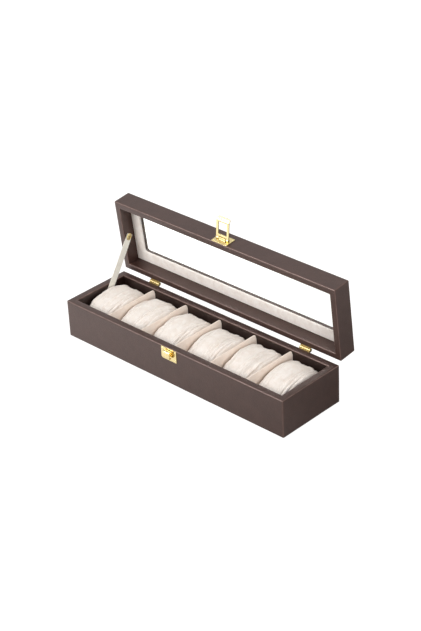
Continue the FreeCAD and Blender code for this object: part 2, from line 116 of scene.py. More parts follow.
def outline(corners, radii, step, arc=6):
    """Closed outline with rounded corners. Each corner becomes the arc of its radius that touches both sides,
    and the straight runs between arcs are cut into equal parts no longer than step."""
    corners, radii = np.array(corners, float), np.array(radii, float)[:, None]
    into = corners - np.roll(corners, 1, 0)
    into /= np.linalg.norm(into, axis=1, keepdims=True)
    out = np.roll(into, -1, 0)
    turn = np.arctan2(into[:, 0] * out[:, 1] - into[:, 1] * out[:, 0], (into * out).sum(1))[:, None]
    side = np.stack([-into[:, 1], into[:, 0]], 1) * np.sign(turn)
    first = corners - into * radii * np.tan(np.abs(turn) / 2)
    share = np.linspace(0, 1, arc)[None]
    cosine, sine = np.cos(turn * share)[..., None], np.sin(turn * share)[..., None]
    spoke = (-side * radii)[:, None]
    across = np.stack([-spoke[..., 1], spoke[..., 0]], -1)
    bends = (first + side * radii)[:, None] + spoke * cosine + across * sine
    runs = []
    for bend, radius, target in zip(bends, radii[:, 0], np.roll(first, -1, 0)):
        bend = bend if radius > 0 else bend[:1]
        parts = max(1, math.ceil(np.linalg.norm(target - bend[-1]) / step))
        runs += [bend, bend[-1] + (target - bend[-1]) * np.linspace(0, 1, parts + 1)[1:-1, None]]
    return np.vstack(runs)


def band(half_x, half_y, profile, corner, step=2.5, corner_points=6):
    """Profile carried round a rectangle. Each line of the profile has an inset from the outer faces and a height,
    and runs round its own rounded rectangle: arcs of the line's corner radius, and straight runs between them."""
    inset, height = profile.T
    arcs = []
    for number, (x, y) in enumerate(((1, -1), (1, 1), (-1, 1), (-1, -1))):
        angle = ((number - 1 + np.linspace(0, 1, corner_points)) * np.pi / 2)[:, None]
        arcs.append(np.stack([x * (half_x - inset - corner) + corner * np.cos(angle),
                              y * (half_y - inset - corner) + corner * np.sin(angle)], -1))
    rows = []
    for number, run in enumerate((half_y, half_x, half_y, half_x)):
        start, end = arcs[number][-1], arcs[(number + 1) % 4][0]
        share = np.linspace(0, 1, math.ceil(2 * run / step) + 1)[1:-1, None, None]
        rows += [arcs[number], start + (end - start) * share]
    plan = np.vstack(rows)
    return np.concatenate([plan, np.broadcast_to(height, plan.shape[:2])[..., None]], -1)


def skin(name, grid, wrap_rows=False, wrap_columns=False, poles=False, smooth_angle=40, values=None, uv=None):
    """Mesh of a grid of points: each point is joined to the next row and column, wrap joins the last to the first,
    and poles draws the first and last row together into one point each. Faces are turned outward by the sign of
    the volume they enclose, a sixth of the sum of the triple products of their corners."""
    rows, columns = grid.shape[:2]
    index = np.arange(rows * columns).reshape(rows, columns)
    points = grid.reshape(-1, 3) * MM
    if wrap_rows:
        index = np.vstack([index, index[:1]])
    if wrap_columns:
        index = np.hstack([index, index[:, :1]])
    quads = np.stack([index[:-1, :-1], index[:-1, 1:], index[1:, 1:], index[1:, :-1]], -1)
    faces = (quads[1:-1] if poles else quads).reshape(-1, 4).tolist()
    if poles:
        points[index[0, 0]], points[index[-1, 0]] = points[index[0, :-1]].mean(0), points[index[-1, :-1]].mean(0)
        low, high = quads[0], quads[-1]
        faces += np.stack([np.full(len(low), index[0, 0]), low[:, 2], low[:, 3]], -1).tolist()
        faces += np.stack([high[:, 0], high[:, 1], np.full(len(high), index[-1, 0])], -1).tolist()
    fan = np.array([face[:3] for face in faces] + [[face[0], face[2], face[-1]] for face in faces if len(face) > 3])
    a, b, c = points[fan].transpose(1, 0, 2)
    if (wrap_rows or wrap_columns) and (a * np.cross(b, c)).sum() < 0:
        faces = [face[::-1] for face in faces]
    mesh = bpy.data.meshes.new(name)
    mesh.from_pydata(points.tolist(), [], faces)
    for key, value in (values or {}).items():
        mesh.attributes.new(key, "FLOAT", "POINT").data.foreach_set("value", np.ravel(value).astype(np.float32))
    if uv is not None:
        corner = np.empty(len(mesh.loops), np.int64)
        mesh.loops.foreach_get("vertex_index", corner)
        mesh.uv_layers.new(name="cloth").data.foreach_set("uv", uv.reshape(-1, 2)[corner].ravel().astype(np.float32))
    if poles:
        drop_loose(mesh)
    mesh.shade_smooth()
    if smooth_angle < 180:
        mesh.set_sharp_from_angle(angle=math.radians(smooth_angle))
    piece = bpy.data.objects.new(name, mesh)
    bpy.context.scene.collection.objects.link(piece)
    return piece


def drop_loose(mesh):
    """Removes the points that no face uses, which the poles leave behind."""
    work = bmesh.new()
    work.from_mesh(mesh)
    bmesh.ops.delete(work, geom=[v for v in work.verts if not v.link_faces], context="VERTS")
    work.to_mesh(mesh)
    work.free()


def joined(name, pieces):
    """One piece of several skins."""
    work = bmesh.new()
    for piece in pieces:
        work.from_mesh(piece.data)
        bpy.data.objects.remove(piece)
    mesh = bpy.data.meshes.new(name)
    work.to_mesh(mesh)
    work.free()
    whole = bpy.data.objects.new(name, mesh)
    bpy.context.scene.collection.objects.link(whole)
    return whole


def framed(left, right, low, high, radii, cut=(), arc=5, run=6):
    """Rounded rectangle in x and z with the same number of points at any size: an arc at each corner from lower
    right to lower left, straight where the corner is cut, and even runs between the arcs."""
    arcs = []
    for number, (x, z) in enumerate(((right, low), (right, high), (left, high), (left, low))):
        angle, radius = (number - 1 + np.linspace(0, 1, arc)) * np.pi / 2, radii[number]
        x -= radius if x == right else -radius
        z -= radius if z == high else -radius
        bend = np.stack([x + radius * np.cos(angle), z + radius * np.sin(angle)], -1)
        if number in cut:
            bend = bend[0] + (bend[-1] - bend[0]) * np.linspace(0, 1, arc)[:, None]
        arcs.append(bend)
    rows = []
    for number, bend in enumerate(arcs):
        end = arcs[(number + 1) % 4][0]
        rows += [bend, bend[-1] + (end - bend[-1]) * np.linspace(0, 1, run + 2)[1:-1, None]]
    return np.vstack(rows)


def windowed(outer, inner, near, far, edge, across=6):
    """Flat stamping with a window: each outer point is joined to its inner point, over the near face, round a
    quarter circle of the edge's radius into the window, back under the far face and round the outer edge."""
    reach = np.linalg.norm(inner - outer, axis=1)[:, None]
    toward = (inner - outer) / reach
    angle = np.linspace(0, np.pi / 2, 4)
    share = np.linspace(0, 1, across)[1:-1]
    flat = edge + (reach - 2 * edge) * share
    inset = np.hstack([edge * (1 - np.cos(angle)) + 0 * reach, flat, reach - edge + edge * np.sin(angle),
                       reach - edge + edge * np.cos(angle), flat[:, ::-1], edge * (1 - np.sin(angle)) + 0 * reach])
    none = np.zeros(len(share))
    depth = np.concatenate([near + edge * (1 - np.sin(angle)), near + none, near + edge * (1 - np.cos(angle)),
                            far - edge + edge * np.sin(angle), far + none, far - edge + edge * np.cos(angle)])
    plan = outer[:, None] + toward[:, None] * inset[..., None]
    return np.stack([plan[..., 0], np.broadcast_to(depth, inset.shape), plan[..., 1]], -1)


def stamped(outer, near, far, edge):
    """Flat stamping without a window: the outline drawn in along its normals by a quarter circle at both faces,
    and the faces closed to their middles."""
    along = np.roll(outer, -1, 0) - np.roll(outer, 1, 0)
    inward = np.stack([-along[:, 1], along[:, 0]], -1) / np.linalg.norm(along, axis=1, keepdims=True)
    angle = np.linspace(0, np.pi / 2, 4)
    inset = np.concatenate([[edge], edge * (1 - np.sin(angle)), edge * (1 - np.cos(angle)), [edge]])
    depth = np.concatenate([[near], near + edge * (1 - np.cos(angle)), far - edge + edge * np.sin(angle), [far]])
    plan = outer[None] + inward[None] * inset[:, None, None]
    return np.stack([plan[..., 0], np.broadcast_to(depth[:, None], plan.shape[:2]), plan[..., 1]], -1)


def turned_part(profile, y, z, count=40):
    """Turned part about a line along X: each profile row has a place along the line and a radius, and becomes a
    circle of that radius."""
    angle = np.arange(count) / count * 2 * np.pi
    place, radius = np.array(profile, float).T
    return np.stack([np.broadcast_to(place[:, None], (len(place), count)),
                     y + radius[:, None] * np.cos(angle), z + radius[:, None] * np.sin(angle)], -1)


def rolled_strip(path, left, right, thick, edge=0.15):
    """Strip of metal bent along a path in y and z: a rounded rectangle, as wide as the strip and as thick as the
    metal, carried square to the path and closed at its ends."""
    path = np.array(path, float)
    along = np.gradient(path, axis=0)
    square = np.stack([-along[:, 1], along[:, 0]], -1) / np.linalg.norm(along, axis=1, keepdims=True)
    x, across = outline([(left, -thick / 2), (right, -thick / 2), (right, thick / 2), (left, thick / 2)],
                        [edge] * 4, step=2.5, arc=4).T
    plan = path[:, None] + square[:, None] * across[None, :, None]
    grid = np.stack([np.broadcast_to(x, plan.shape[:2]), plan[..., 0], plan[..., 1]], -1)
    return np.concatenate([grid[:1], grid, grid[-1:]])


def arc_path(y, z, radius, start, end, count):
    """Points of a circle in y and z from one angle to another, in degrees."""
    angle = np.radians(np.linspace(start, end, count))
    return np.stack([y + radius * np.cos(angle), z + radius * np.sin(angle)], -1)


# ---------------------------------------------------------------- materials
def linear(code, alpha=1.0):
    """sRGB hex colour as linear numbers: below 0.04045 a twelfth, above it the power 2.4."""
    share = [int(code[i:i + 2], 16) / 255 for i in (1, 3, 5)]
    return [s / 12.92 if s <= 0.04045 else ((s + 0.055) / 1.055) ** 2.4 for s in share] + [alpha]


def add(tree, kind, values=None, links=None, **settings):
    """Adds one node: settings are its properties, values set its sockets and links feed them from other sockets."""
    made = tree.nodes.new("ShaderNode" + kind)
    for key, value in settings.items():
        setattr(made, key, value)
    for key, value in (values or {}).items():
        made.inputs[key].default_value = value
    for key, source in (links or {}).items():
        tree.links.new(source, made.inputs[key])
    return made


def material(name):
    """Empty node material with its output."""
    made = bpy.data.materials.new(name)
    made.use_nodes = True
    made.node_tree.nodes.clear()
    return made, made.node_tree


def pattern(size):
    """Scale of a texture on coordinates in metres whose features are the given size in millimetres."""
    return 1 / (size * MM)


def leatherette():
    """Polyurethane leatherette, coated on cloth, embossed with a fine grain and glued round the boards.
    It looks dark red-brown with a soft dull shine, and is paler and smoother where it's stretched over edges; that
    paler edge colour is partly a painted highlight, and the base's inner walls carry painted shade."""
    made, tree = material("embossed_polyurethane_leatherette")
    place = add(tree, "TexCoord").outputs["Object"]
    # Grain cells of 0.9 mm, with hair-fine pores of 0.25 mm on them
    cells = add(tree, "TexVoronoi", {"Scale": pattern(0.9), "Randomness": 0.9}, {"Vector": place},
                feature="SMOOTH_F1")
    pores = add(tree, "TexNoise", {"Scale": pattern(0.25), "Detail": 2.0}, {"Vector": place})
    cloud = add(tree, "TexNoise", {"Scale": pattern(12), "Detail": 6.0, "Roughness": 0.72}, {"Vector": place})
    # Paler edges: partly stretched, rubbed leather and partly a painted highlight along the edges and corners
    edge_wear_and_highlight = add(tree, "Attribute", attribute_name="stretch_and_highlight")
    patch = add(tree, "TexNoise", {"Scale": pattern(7), "Detail": 3.0}, {"Vector": place})
    tone = add(tree, "MapRange", {"From Min": 0.3, "From Max": 0.7}, {"Value": cloud.outputs["Fac"]})
    skin_tone = add(tree, "Mix", {"A": linear(LEATHER_DARK), "B": linear(LEATHER_PALE)},
                    {"Factor": tone.outputs["Result"]}, data_type="RGBA")
    # Painted shade: the walls inside the base below the rim get a much darker colour in place of their shade
    inside = add(tree, "Attribute", attribute_name="inside")
    skin_tone = add(tree, "Mix", {"B": linear(LEATHER_PAINTED_SHADE)},
                    {"Factor": inside.outputs["Fac"], "A": skin_tone.outputs["Result"]}, data_type="RGBA")
    wear_and_highlight_patches = add(tree, "MapRange", {"From Min": 0.3, "From Max": 0.7, "To Min": 0.45, "To Max": 1.0},
              {"Value": patch.outputs["Fac"]})
    amount = add(tree, "Math", links={0: edge_wear_and_highlight.outputs["Fac"], 1: wear_and_highlight_patches.outputs["Result"]}, operation="MULTIPLY")
    colour = add(tree, "Mix", {"B": linear(LEATHER_WORN_AND_HIGHLIGHT)},
                 {"Factor": amount.outputs[0], "A": skin_tone.outputs["Result"]}, data_type="RGBA")
    rough = add(tree, "MapRange", {"To Min": 0.33, "To Max": 0.5}, {"Value": cells.outputs["Distance"]})
    rough = add(tree, "Math", {1: -0.08}, {0: amount.outputs[0], 2: rough.outputs["Result"]},
                operation="MULTIPLY_ADD")
    relief = add(tree, "Bump", {"Strength": 0.8, "Distance": 0.00016},
                 {"Height": cells.outputs["Distance"]}, invert=True)
    relief = add(tree, "Bump", {"Strength": 0.3, "Distance": 0.00004},
                 {"Height": pores.outputs["Fac"], "Normal": relief.outputs[0]})
    shader = add(tree, "BsdfPrincipled", {"IOR": 1.5, "Specular IOR Level": 0.75, "Specular Tint": linear("#FFE8E3")},
                 {"Base Color": colour.outputs["Result"], "Roughness": rough.outputs[0],
                  "Normal": relief.outputs[0]})
    add(tree, "OutputMaterial", links={"Surface": shader.outputs[0]})
    return made


def suede(name, pale, deep, nap=1.4):
    """Polyester microsuede with a brushed nap: soft, matt and slightly furry, so its edges catch a pale bloom,
    and mottled where the nap lies in different directions."""
    made, tree = material(name)
    place = add(tree, "TexCoord").outputs["Object"]
    cloud = add(tree, "TexNoise", {"Scale": pattern(7), "Detail": 4.0, "Distortion": 0.6}, {"Vector": place})
    # The nap's real fibres are about 0.1 mm; they're drawn at 0.45 mm and in tufts of the nap size, to show
    fibre = add(tree, "TexNoise", {"Scale": pattern(0.45), "Detail": 3.0, "Roughness": 0.7}, {"Vector": place})
    tuft = add(tree, "TexNoise", {"Scale": pattern(nap), "Detail": 2.0}, {"Vector": place})
    mixed = add(tree, "Math", {1: 0.45}, {0: tuft.outputs["Fac"], 2: cloud.outputs["Fac"]},
                operation="MULTIPLY_ADD")
    tone = add(tree, "MapRange", {"From Min": 0.4, "From Max": 1.05}, {"Value": mixed.outputs[0]})
    colour = add(tree, "Mix", {"A": linear(deep), "B": linear(pale)}, {"Factor": tone.outputs["Result"]},
                 data_type="RGBA")
    relief = add(tree, "Bump", {"Strength": 0.5, "Distance": 0.0002}, {"Height": tuft.outputs["Fac"]})
    relief = add(tree, "Bump", {"Strength": 0.6, "Distance": 0.0001},
                 {"Height": fibre.outputs["Fac"], "Normal": relief.outputs[0]})
    shader = add(tree, "BsdfPrincipled", {"Roughness": 0.95, "IOR": 1.5, "Specular IOR Level": 0.15,
                                          "Sheen Weight": 0.25, "Sheen Roughness": 0.5,
                                          "Sheen Tint": linear("#FFF3E8")},
                 {"Base Color": colour.outputs["Result"], "Normal": relief.outputs[0]})
    add(tree, "OutputMaterial", links={"Surface": shader.outputs[0]})
    return made


def twill_tape():
    """Woven cotton and polyester tape in cream: fine ribs across it, and matt."""
    made, tree = material("woven_twill_tape")
    run = add(tree, "UVMap", uv_map="cloth")
    # The map is in millimetres along and across the tape. Ribs of 0.8 mm, drawn twice as coarse as the real weave
    ribs = add(tree, "TexWave", {"Scale": 2 * math.pi / 0.8 / 20, "Distortion": 0.6, "Detail": 1.0},
               {"Vector": run.outputs[0]}, bands_direction="DIAGONAL", wave_profile="SIN")
    fleck = add(tree, "TexNoise", {"Scale": 1.6, "Detail": 3.0}, {"Vector": run.outputs[0]})
    tone = add(tree, "Math", {1: 0.5}, {0: ribs.outputs["Fac"], 2: fleck.outputs["Fac"]}, operation="MULTIPLY_ADD")
    colour = add(tree, "Mix", {"A": linear("#EFEADD"), "B": linear("#FDFAF0")}, {"Factor": tone.outputs[0]},
                 data_type="RGBA")
    relief = add(tree, "Bump", {"Strength": 0.6, "Distance": 0.0001}, {"Height": ribs.outputs["Fac"]})
    shader = add(tree, "BsdfPrincipled", {"Roughness": 0.85, "IOR": 1.5, "Specular IOR Level": 0.25,
                                          "Sheen Weight": 0.15},
                 {"Base Color": colour.outputs["Result"], "Normal": relief.outputs[0]})
    add(tree, "OutputMaterial", links={"Surface": shader.outputs[0]})
    return made


def polished_brass(name, dark, pale, haze_low, haze_high):
    """Stamped steel, brass plated and barrel polished: yellow mirror with a slightly wavy face, from bright to dull
    by its two tones and its haze."""
    made, tree = material(name)
    place = add(tree, "TexCoord").outputs["Object"]
    wave = add(tree, "TexNoise", {"Scale": pattern(3.5), "Detail": 1.0}, {"Vector": place})
    haze = add(tree, "TexNoise", {"Scale": pattern(1.1), "Detail": 4.0}, {"Vector": place})
    colour = add(tree, "Mix", {"A": linear(dark), "B": linear(pale)}, {"Factor": haze.outputs["Fac"]},
                 data_type="RGBA")
    rough = add(tree, "MapRange", {"To Min": haze_low, "To Max": haze_high}, {"Value": haze.outputs["Fac"]})
    relief = add(tree, "Bump", {"Strength": 0.5, "Distance": 0.0001}, {"Height": wave.outputs["Fac"]})
    shader = add(tree, "BsdfPrincipled", {"Metallic": 1.0},
                 {"Base Color": colour.outputs["Result"], "Roughness": rough.outputs["Result"],
                  "Normal": relief.outputs[0]})
    add(tree, "OutputMaterial", links={"Surface": shader.outputs[0]})
    return made


def float_glass():
    """Clear float glass with polished faces: see-through, with a faint reflection, and it lets lamps through."""
    made, tree = material("clear_float_glass")
    place = add(tree, "TexCoord").outputs["Object"]
    draw = add(tree, "TexNoise", {"Scale": pattern(60), "Detail": 0.0}, {"Vector": place})
    relief = add(tree, "Bump", {"Strength": 0.02, "Distance": 0.0005}, {"Height": draw.outputs["Fac"]})
    pane = add(tree, "BsdfPrincipled", {"Base Color": linear("#FAFDFB"), "Roughness": 0.0, "IOR": 1.45,
                                        "Transmission Weight": 1.0}, {"Normal": relief.outputs[0]})
    clear = add(tree, "BsdfTransparent", {"Color": linear("#F6FAF8")})
    ray = add(tree, "LightPath")
    both = add(tree, "MixShader", links={0: ray.outputs["Is Shadow Ray"], 1: pane.outputs[0], 2: clear.outputs[0]})
    add(tree, "OutputMaterial", links={"Surface": both.outputs[0]})
    return made


def fibreboard():
    """Medium-density fibreboard, sawn: pale brown, felted of short fibres, quite matt."""
    made, tree = material("sawn_fibreboard")
    place = add(tree, "TexCoord").outputs["Object"]
    fibre = add(tree, "TexNoise", {"Scale": pattern(0.8), "Detail": 5.0, "Roughness": 0.7}, {"Vector": place})
    colour = add(tree, "Mix", {"A": linear("#9A7A58"), "B": linear("#B8966F")}, {"Factor": fibre.outputs["Fac"]},
                 data_type="RGBA")
    relief = add(tree, "Bump", {"Strength": 0.5, "Distance": 0.0002}, {"Height": fibre.outputs["Fac"]})
    shader = add(tree, "BsdfPrincipled", {"Roughness": 0.9, "IOR": 1.5},
                 {"Base Color": colour.outputs["Result"], "Normal": relief.outputs[0]})
    add(tree, "OutputMaterial", links={"Surface": shader.outputs[0]})
    return made


def pressed_felt():
    """Pressed polyester felt under the box: dark brown, fuzzy, with fibres that cross at random."""
    made, tree = material("pressed_felt")
    place = add(tree, "TexCoord").outputs["Object"]
    fibre = add(tree, "TexNoise", {"Scale": pattern(0.7), "Detail": 5.0, "Roughness": 0.75, "Distortion": 1.5},
                {"Vector": place})
    colour = add(tree, "Mix", {"A": linear("#2E211C"), "B": linear("#4A3A33")}, {"Factor": fibre.outputs["Fac"]},
                 data_type="RGBA")
    relief = add(tree, "Bump", {"Strength": 0.8, "Distance": 0.0003}, {"Height": fibre.outputs["Fac"]})
    shader = add(tree, "BsdfPrincipled", {"Roughness": 1.0, "IOR": 1.5, "Specular IOR Level": 0.2,
                                          "Sheen Weight": 0.3, "Sheen Roughness": 0.6},
                 {"Base Color": colour.outputs["Result"], "Normal": relief.outputs[0]})
    add(tree, "OutputMaterial", links={"Surface": shader.outputs[0]})
    return made


# The third colour is the paler edge colour, partly stretched leather and partly a painted highlight; the fourth is
# painted shade for the base's inner walls
LEATHER_DARK, LEATHER_PALE, LEATHER_WORN_AND_HIGHLIGHT, LEATHER_PAINTED_SHADE = "#33221D", "#402C26", "#876E66", "#1E120E"

LEATHERETTE = leatherette()
CUSHION_SUEDE = suede("brushed_microsuede_cream", "#F3EDE7", "#E3D6CB")
CARD_SUEDE = suede("brushed_microsuede_on_card", "#F9EDE2", "#EFDCCD", nap=1.1)
FRAME_SUEDE = suede("brushed_microsuede_beige", "#FEF9F4", "#ECE1D8", nap=2.0)
TAPE = twill_tape()
BRASS = polished_brass("brass_plated_stamped_steel", "#E6CE8C", "#F1E3B2", 0.16, 0.32)
# A darker copy of the brass, as painted shade and painted dark reflection, for the hinges, their pins and the latch's
# knuckle
SHADED_BRASS = polished_brass("brass_plated_steel_darkened_as_painted_shade", "#AE9860", "#D3C08C", 0.24, 0.38)
GLASS_PANE = float_glass()
BOARD = fibreboard()
FELT = pressed_felt()


def dress(piece, finish, body=None, replaces=()):
    """Gives a finished piece its material and its body, and hides the nodes it stands for."""
    piece.data.materials.append(finish)
    if body:
        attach(piece, body)
    if replaces:
        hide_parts(*replaces)
    return piece


# ---------------------------------------------------------------- leather on base and lid
def wrap_leather(name, profile, exposed, body, node, top, seed, place=None):
    """Leather shell: the closed profile carried round the box, with corners rounded on the outside and square
    inside, and a slow waviness of a few hundredths of a millimetre. The stretch value is 1 on exposed edges, where
    the paler colour is partly stretched leather and partly a painted highlight, and the inside value is 1 on the
    base's inner walls below the rim, where it marks painted shade."""
    inset = profile[:, 0]
    corner = np.interp(inset, [0, EDGE_ROUND, WINDOW_BORDER - 2, WINDOW_BORDER], [EDGE_ROUND, 0.3, 2.6, 3.0])
    corner = np.where(inset <= LID_WALL + 1, np.minimum(corner, np.maximum(EDGE_ROUND - inset, 0.3)), corner)
    grid = band(HALF_LENGTH, HALF_DEPTH, profile, corner)
    near = np.sqrt(((profile[:, None] - np.array(exposed)[None]) ** 2).sum(-1)).min(1)
    along_corner = np.hypot(HALF_LENGTH - abs(grid[..., 0]), HALF_DEPTH - abs(grid[..., 1]))
    # Paler edges and corners: partly stretched leather, partly a painted highlight
    stretch_and_highlight = 1 - (1 - hump(near, 0.4)[None]) * (1 - 0.85 * hump(along_corner, 0.75))
    # Painted shade: 1 on the base's inner walls below the rim, where the leather's colour is darkened
    inner = np.clip((inset - BASE_WALL + 0.6) / 0.5, 0, 1) * np.clip((BASE_TOP - 0.9 - profile[:, 1]) / 1.0, 0, 1)
    flat_spot = ripple(grid, 22, seed)[..., None] * 0.035
    middle = np.array([0, 0, top])
    outward = grid - middle * [1, 1, 1]
    outward /= np.linalg.norm(outward, axis=-1, keepdims=True)
    grid = grid + outward * flat_spot
    piece = skin(name, place(grid) if place else grid, wrap_rows=True, wrap_columns=True,
                 smooth_angle=50, values={"stretch_and_highlight": stretch_and_highlight, "inside": inner[None] + 0 * stretch_and_highlight})
    return dress(piece, LEATHERETTE, body, [node])


def crown(profile, level, wall):
    """Low swell of the rim at a level: a half sine of 0.12 mm between its two edges."""
    return 0.12 * np.sin(np.pi * np.clip(profile[:, 0] / wall, 0, 1)) * (abs(profile[:, 1] - level) < 0.05)


base_profile = outline(
    [(0, BASE_BOTTOM), (0, BASE_TOP), (BASE_WALL, BASE_TOP), (BASE_WALL, INNER_FLOOR),
     (BASE_WALL - LEATHER, INNER_FLOOR), (BASE_WALL - LEATHER, BASE_TOP - LEATHER),
     (LEATHER, BASE_TOP - LEATHER), (LEATHER, BASE_BOTTOM)],
    [0, EDGE_ROUND, MOUTH_ROUND, 0, 0, 0, 0, 0], step=1.5)
base_profile[:, 1] += crown(base_profile, BASE_TOP, BASE_WALL)
wrap_leather("base_leather", base_profile, [(0.35, BASE_TOP - 0.35), (BASE_WALL - 0.2, BASE_TOP - 0.2)],
             "base", "base_leather_wrap", 23.0, 11)

lid_profile = outline(
    [(LID_WALL, LID_CEILING), (LID_WALL, LID_RIM), (0, LID_RIM), (0, LID_TOP), (WINDOW_BORDER, LID_TOP),
     (WINDOW_BORDER, LID_CEILING), (WINDOW_BORDER - LEATHER, LID_CEILING),
     (WINDOW_BORDER - LEATHER, LID_TOP - LEATHER), (LEATHER, LID_TOP - LEATHER), (LEATHER, LID_RIM + LEATHER),
     (LID_WALL - LEATHER, LID_RIM + LEATHER), (LID_WALL - LEATHER, LID_CEILING)],
    [0, MOUTH_ROUND, EDGE_ROUND, EDGE_ROUND, EDGE_ROUND, 0, 0, 0, 0, 0, 0, 0], step=1.5)
lid_profile[:, 1] -= crown(lid_profile, LID_RIM, LID_WALL)
wrap_leather("lid_leather", lid_profile,
             [(0.35, LID_RIM + 0.35), (LID_WALL - 0.2, LID_RIM + 0.2), (0.35, LID_TOP - 0.35),
              (WINDOW_BORDER - 0.35, LID_TOP - 0.35)],
             "lid", "lid_leather_wrap", 58.0, 12, opened)


# ---------------------------------------------------------------- suede frame round the glass
def suede_window_frame():
    """Padded card frame: a band whose face bulges by a half sine between its two edges, rounded at both."""
    wall, opening = LID_WALL + 0.2, LID_WALL + SUEDE_FRAME_WIDTH
    high = LID_CEILING - GLASS
    low = high - SUEDE_FRAME_THICK
    profile = outline([(wall, high), (wall, low), (opening, low), (opening, high)], [0.2, 0.5, 0.9, 0.2], step=0.8)
    inset = profile[:, 0]
    face = profile[:, 1] < low + 0.05
    share = np.clip((inset - wall) / (opening - wall), 0, 1)
    profile[:, 1] -= np.where(face, 0.25 * np.sin(np.pi * share), 0)
    corner = np.interp(inset, [wall, opening], [0.3, 3.0])
    grid = band(HALF_LENGTH, HALF_DEPTH, profile, corner)
    grid[..., 2] += 0.06 * ripple(grid, 16, 31) * face[None]
    piece = skin("window_frame_suede", opened(grid), wrap_rows=True, wrap_columns=True, smooth_angle=50)
    return dress(piece, FRAME_SUEDE, "lid", ["lid_suede_frame"])


suede_window_frame()


# ---------------------------------------------------------------- partitions
def partition(number):
    """Suede-covered card: upright sections with rounded top edges, carried from front to back. The height drops
    in a quarter circle at both ends, the thickness closes in a quarter circle, and the card bows a little."""
    low, high = (np.array(corner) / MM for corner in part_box("divider_%d" % number))
    centre, half_y, top = (low[0] + high[0]) / 2, high[1], high[2]
    drop, close = 3.0, 0.9
    y = half_y * np.sin(np.linspace(-1, 1, 61) * np.pi / 2)
    past = np.clip(abs(y) - (half_y - drop), 0, drop)
    height = top - drop + np.sqrt(drop ** 2 - past ** 2)
    past = np.clip(abs(y) - (half_y - close), 0, close)
    half = (PARTITION / 2) * (0.25 + 0.75 * np.sqrt(1 - (past / close) ** 2))
    section = outline([(-1, 0), (1, 0), (1, 1), (-1, 1)], [0, 0, 0, 0], step=0.08)
    across, up = section.T
    round_top = 1.2
    z = low[2] + up[None] * (height - low[2])[:, None]
    depth = np.clip(z - (height[:, None] - round_top), 0, round_top)
    soft = np.minimum(round_top, 0.7 * half)[:, None]
    x = across[None] * (half[:, None] - soft * (1 - np.sqrt(1 - (depth / round_top) ** 2)))
    grid = np.stack([centre + x, np.broadcast_to(y[:, None], x.shape), z], -1)
    grid[..., 0] += 0.22 * ripple(grid, 46, 40 + number)
    grid[..., 2] += 0.12 * ripple(grid * [0, 1, 0], 24, 60 + number) * (up > 0.5)
    piece = skin("partition_%d" % number, grid, wrap_columns=True, poles=True, smooth_angle=60)
    return dress(piece, CARD_SUEDE, "base", ["divider_%d" % number])


for number in range(1, PLACES):
    partition(number)


# ---------------------------------------------------------------- cushions
def oval(half_y, half_z, shoulder, count):
    """Level oval of four touching arcs, evenly spaced: each point is its arc's centre plus its arc's radius along
    the outward normal. The front and back arcs have the shoulder's radius, the upper and lower ones a crown's."""
    reach = half_y - shoulder
    crown = (reach ** 2 + half_z ** 2 - shoulder ** 2) / (2 * (half_z - shoulder))
    join = math.atan2(crown - half_z, reach)
    limits = np.array([-join, join, np.pi - join, np.pi + join, 2 * np.pi - join])
    radii = np.array([shoulder, crown, shoulder, crown])
    lengths = np.concatenate([[0], np.cumsum(np.diff(limits) * radii)])
    normal = np.interp(np.arange(count) / count * lengths[-1], lengths, limits)
    arc = np.clip(np.searchsorted(limits, normal, side="right") - 1, 0, 3)
    centre = np.array([[reach, 0], [0, half_z - crown], [-reach, 0], [0, crown - half_z]])[arc]
    direction = np.stack([np.cos(normal), np.sin(normal)], -1)
    return centre + radii[arc][:, None] * direction, direction


# The roll's section as the solids have it: half sizes and centre before it leans back and is pressed flat below
ROLL_HALF_Y, ROLL_HALF_Z, ROLL_CENTRE_Z, ROLL_SHOULDER = 34.5, 20.85, 25.15, 16.0
ROLL_LEAN, ROLL_BOTTOM = 10.0, 5.8
END_LENGTH, END_DRAW = 8.0, 5.0


def roll_form(number, inset):
    """Plain stuffed roll, smaller by the inset: the leaning oval is carried along the place, drawn in at both ends
    by a quarter ellipse, capped by slightly hollow ends, and made a little uneven by ripples."""
    low, high = (np.array(corner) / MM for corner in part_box("cushion_%d" % number))
    half_x, centre_x = (high[0] - low[0]) / 2, (low[0] + high[0]) / 2
    ring, direction = oval(ROLL_HALF_Y, ROLL_HALF_Z, ROLL_SHOULDER, 96)
    angle = np.linspace(np.pi / 2, 0, 8)
    end_x, end_draw = half_x - END_LENGTH * (1 - np.sin(angle)), END_DRAW * (1 - np.cos(angle))
    body = np.linspace(end_x[-1], -end_x[-1], 20)[1:-1]
    cap = np.linspace(0, 1, 7)[:-1]
    hollow = half_x - 1.2 * (1 - cap ** 2)
    x = np.concatenate([hollow, end_x, body, -end_x[::-1], -hollow[::-1]]) * (1 - inset / half_x)
    drawn = np.concatenate([np.full(6, END_DRAW), end_draw, np.zeros(len(body)), end_draw[::-1],
                            np.full(6, END_DRAW)]) + inset
    share = np.concatenate([cap, np.ones(len(x) - 12), cap[::-1]])[:, None]
    y = share * (ring[:, 0] - drawn[:, None] * direction[:, 0])
    z = share * (ring[:, 1] - drawn[:, None] * direction[:, 1])
    grid = np.stack([np.broadcast_to(centre_x + x[:, None], y.shape), y, z + ROLL_CENTRE_Z], -1)
    swell = (0.45 * ripple(grid, 26, 80 + number) + 0.12 * ripple(grid, 9, 90 + number)) * (share > 0.99)
    grid[..., 1] += swell * direction[:, 0]
    grid[..., 2] += swell * direction[:, 1]
    grid = turned(grid, 0, ROLL_CENTRE_Z, -ROLL_LEAN)
    grid[..., 2] = np.maximum(grid[..., 2], ROLL_BOTTOM + inset)
    return skin("pillow_%d" % number, grid, wrap_columns=True, poles=True, smooth_angle=180)


